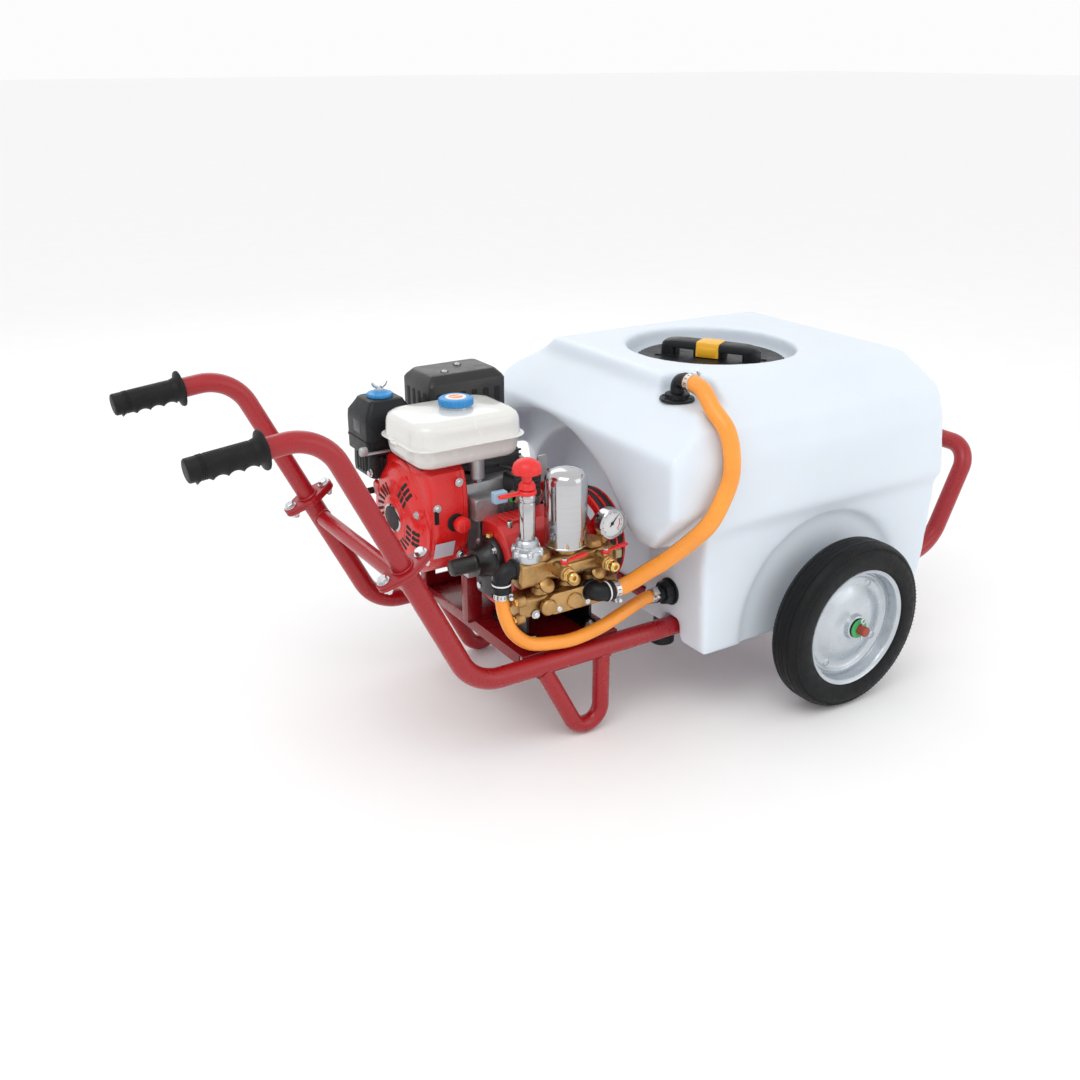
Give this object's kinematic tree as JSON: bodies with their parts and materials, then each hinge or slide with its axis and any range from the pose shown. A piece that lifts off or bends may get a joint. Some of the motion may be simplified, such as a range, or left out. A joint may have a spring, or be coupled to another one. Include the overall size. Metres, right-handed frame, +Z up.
{
  "type": "wheeled sprayer cart",
  "caption": "Petrol driven sprayer cart: steel tube frame on wheels, plastic tank with lift off lid, belt driven plunger pump, hoses and rubber handle grips.",
  "frame": {"origin": "centre of the overall footprint, on the ground", "axes": "+X forward from the handles to the front guard, +Y to the left of the person pushing, +Z up"},
  "size_m": [1.7328, 0.85, 0.6916],
  "materials": {
    "frame_paint": "deep red gloss enamel over welded steel tube",
    "zinc": "zinc plated steel",
    "grip_rubber": "black moulded rubber",
    "black_paint": "semi gloss black paint",
    "axle_paint": "red brown primer on steel",
    "tyre_rubber": "solid black rubber",
    "green_plastic": "green moulded washer",
    "tank_plastic": "translucent white polyethylene",
    "black_plastic": "black moulded plastic",
    "yellow_plastic": "black bar with a yellow middle clip",
    "hose_pvc": "flexible orange hose",
    "cast_alloy": "sand blasted die casting",
    "engine_red": "bright red enamel on castings",
    "white_paint": "gloss white paint on pressed steel",
    "blue_plastic": "blue moulded cap",
    "bronze": "cast and tumbled brass",
    "stainless": "polished stainless steel",
    "needle_black": "black needle",
    "red_plastic": "red moulded handle",
    "belt_rubber": "black belt rubber"
  },
  "bodies": {
    "frame": {"side_tube_left": "frame_paint", "side_tube_right": "frame_paint", "guard_bar": "frame_paint", "rear_cross_tube": "frame_paint", "handle_tube_left": "frame_paint", "handle_tube_right": "frame_paint", "joint_flanges": "frame_paint", "flange_bolts": "zinc", "grip_left": "grip_rubber", "grip_right": "grip_rubber", "leg_left": "frame_paint", "leg_right": "frame_paint", "tray": "frame_paint", "engine_pedestal": "frame_paint", "pump_stand": "black_paint", "tank_crossbars": "frame_paint", "axle": "axle_paint", "axle_washers": "green_plastic", "cotter_pins": "zinc", "tank_shell": "tank_plastic", "tank_elbow": "black_plastic", "tank_outlet": "black_plastic", "return_hose": "hose_pvc", "suction_hose": "hose_pvc", "hose_clamps": "zinc", "engine_block": "cast_alloy", "cylinder_head": "cast_alloy", "blower_housing": "engine_red", "recoil_cover": "engine_red", "fuel_tank": "white_paint", "air_cleaner": "black_plastic", "carburetor": "cast_alloy", "muffler": "black_paint", "pump_crankcase": "engine_red", "pump_end_cover": "black_paint", "pump_head": "bronze", "air_dome": "stainless", "gauge_body": "stainless", "regulator_body": "stainless", "pump_elbows": "black_plastic", "drive_belts": "belt_rubber", "mount_bolts": "zinc"},
    "wheel_left": {"tyre_left": "tyre_rubber", "rim_left": "zinc"},
    "wheel_right": {"tyre_right": "tyre_rubber", "rim_right": "zinc"},
    "lid": {"tank_lid": "black_plastic", "lid_bar": "yellow_plastic"},
    "drain": {"drain_cap": "black_plastic"},
    "fuel_cap": {"fuel_cap": "blue_plastic"},
    "crank": {"crank_pulley": "engine_red"},
    "pump_shaft": {"pump_pulley": "engine_red"},
    "throttle": {"throttle_lever": "cast_alloy"},
    "starter_grip": {"recoil_grip": "black_plastic"},
    "oil_cap": {"oil_cap": "engine_red"},
    "needle": {"gauge_needle": "needle_black"},
    "regulator_knob": {"regulator_knob": "red_plastic"},
    "relief_lever": {"relief_lever": "red_plastic"},
    "cock_lever_a": {"cock_lever_a": "red_plastic"},
    "cock_lever_b": {"cock_lever_b": "red_plastic"}
  },
  "joints": [
    {"name": "wheel_left_spin", "type": "hinge", "parent": "frame", "child": "wheel_left", "pos_m": [0.32, 0.37, 0.17], "axis": [0, 1, 0], "continuous": true},
    {"name": "wheel_right_spin", "type": "hinge", "parent": "frame", "child": "wheel_right", "pos_m": [0.32, -0.37, 0.17], "axis": [0, 1, 0], "continuous": true},
    {"name": "lid_lift", "type": "slide", "parent": "frame", "child": "lid", "axis": [0, 0, 1], "range_m": [0, 0.15]},
    {"name": "drain_cap_turn", "type": "hinge", "parent": "frame", "child": "drain", "pos_m": [0.045, -0.148, 0.118], "axis": [0, 0, 1], "range_deg": [0, 360]},
    {"name": "fuel_cap_turn", "type": "hinge", "parent": "frame", "child": "fuel_cap", "pos_m": [-0.308, 0.03, 0.61], "axis": [0, 0, 1], "range_deg": [0, 90]},
    {"name": "crank_turn", "type": "hinge", "parent": "frame", "child": "crank", "pos_m": [-0.088, 0.077, 0.395], "axis": [1, 0, 0], "continuous": true},
    {"name": "pump_turn", "type": "hinge", "parent": "frame", "child": "pump_shaft", "pos_m": [-0.088, -0.08, 0.342], "axis": [1, 0, 0], "continuous": true},
    {"name": "throttle_turn", "type": "hinge", "parent": "frame", "child": "throttle", "pos_m": [-0.368, 0.119, 0.51], "axis": [0, 0, 1], "range_deg": [0, 35]},
    {"name": "starter_pull", "type": "slide", "parent": "frame", "child": "starter_grip", "axis": [-1, 0, 0], "range_m": [0, 0.3], "stiffness_N_per_m": 20},
    {"name": "oil_cap_turn", "type": "hinge", "parent": "frame", "child": "oil_cap", "pos_m": [-0.346, -0.05, 0.408], "axis": [0, 1, 0], "range_deg": [0, 360]},
    {"name": "needle_turn", "type": "hinge", "parent": "frame", "child": "needle", "pos_m": [-0.127, -0.2075, 0.416], "axis": [0, 1, 0], "range_deg": [0, 270], "stiffness_Nm_per_rad": 0.001},
    {"name": "knob_turn", "type": "hinge", "parent": "frame", "child": "regulator_knob", "pos_m": [-0.287, -0.178, 0.53], "axis": [0, 0, 1], "range_deg": [-180, 180]},
    {"name": "relief_turn", "type": "hinge", "parent": "frame", "child": "relief_lever", "pos_m": [-0.287, -0.178, 0.498], "axis": [0, 0, 1], "range_deg": [-60, 60]},
    {"name": "cock_a_turn", "type": "hinge", "parent": "frame", "child": "cock_lever_a", "pos_m": [-0.237, -0.22, 0.37], "axis": [0, 0, 1], "range_deg": [-90, 0]},
    {"name": "cock_b_turn", "type": "hinge", "parent": "frame", "child": "cock_lever_b", "pos_m": [-0.149, -0.22, 0.37], "axis": [0, 0, 1], "range_deg": [-90, 0]}
  ],
  "couplings": [
    {"joint": "crank_turn", "follows": "pump_turn", "ratio": 2.9677}
  ]
}
